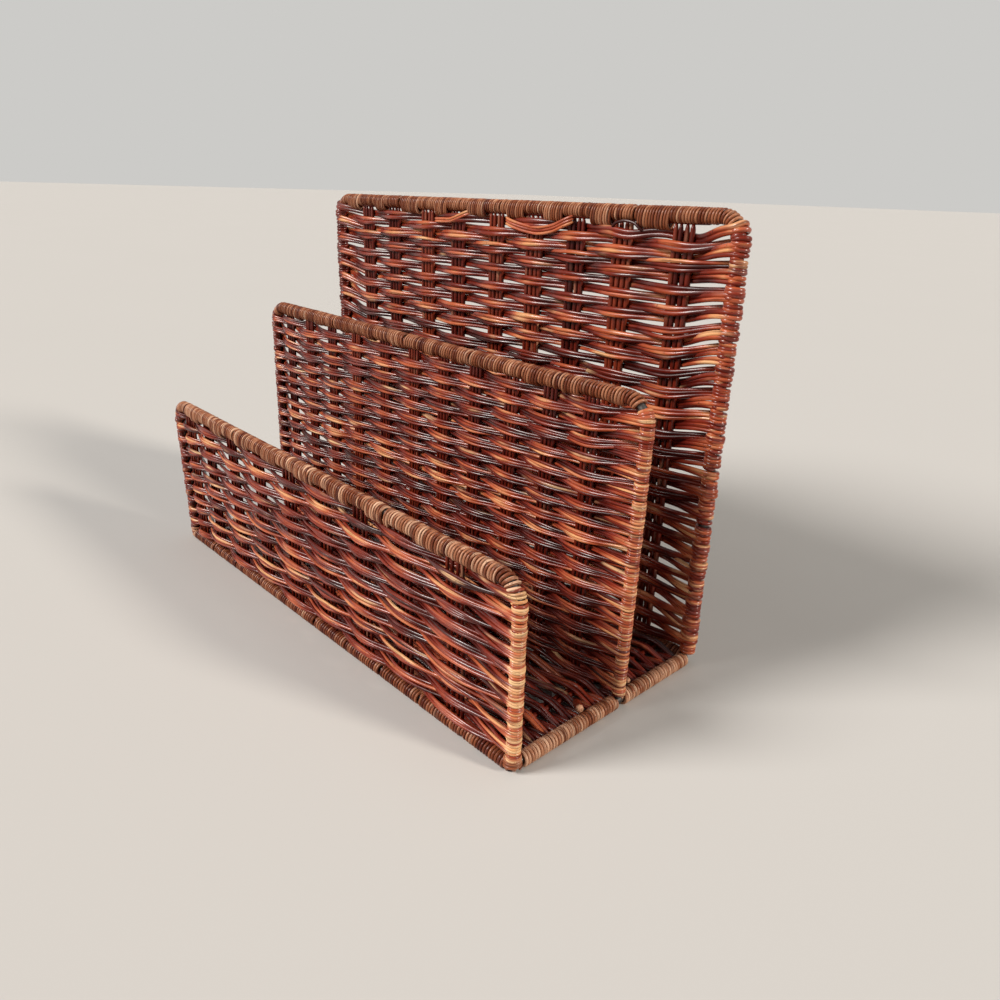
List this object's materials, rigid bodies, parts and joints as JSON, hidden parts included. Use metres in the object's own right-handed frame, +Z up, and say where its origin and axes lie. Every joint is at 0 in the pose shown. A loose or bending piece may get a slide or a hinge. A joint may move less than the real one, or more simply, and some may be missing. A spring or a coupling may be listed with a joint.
{
  "type": "wicker letter rack",
  "caption": "Woven wicker letter rack with stepped upright panels on a woven base over bound wire frames, forming open slots for letters and papers.",
  "frame": {"origin": "centre of the footprint on the table, under the bound base rails", "axes": "+X along the rack's length, +Y from the low front panel to the tall back panel, +Z up"},
  "size_m": [0.2498, 0.1054, 0.1759],
  "materials": {
    "steel_wire": "dark drawn steel wire, dull, bare where the binding leaves it",
    "stake_cane": "red-brown stained cane rods under a satin varnish",
    "weaver_cane": "red-brown stained cane strands with lighter patches, semi-gloss varnish",
    "binding_cane": "lighter worn red-tan binding cane, semi-gloss varnish"
  },
  "bodies": {
    "root": {"back_frame_wire": "steel_wire", "back_left_binding": "binding_cane", "back_right_binding": "binding_cane", "back_rim_cane": "stake_cane", "back_stakes": "stake_cane", "back_top_binding": "binding_cane", "back_weavers": "weaver_cane", "base_back_binding": "binding_cane", "base_cross_wire": "steel_wire", "base_frame_wire": "steel_wire", "base_front_binding": "binding_cane", "base_left_binding": "binding_cane", "base_right_binding": "binding_cane", "base_stakes": "stake_cane", "base_weavers": "weaver_cane", "front_frame_wire": "steel_wire", "front_left_binding": "binding_cane", "front_right_binding": "binding_cane", "front_rim_cane": "stake_cane", "front_stakes": "stake_cane", "front_top_binding": "binding_cane", "front_weavers": "weaver_cane", "middle_frame_wire": "steel_wire", "middle_left_binding": "binding_cane", "middle_right_binding": "binding_cane", "middle_rim_cane": "stake_cane", "middle_stakes": "stake_cane", "middle_top_binding": "binding_cane", "middle_weavers": "weaver_cane"}
  },
  "joints": []
}
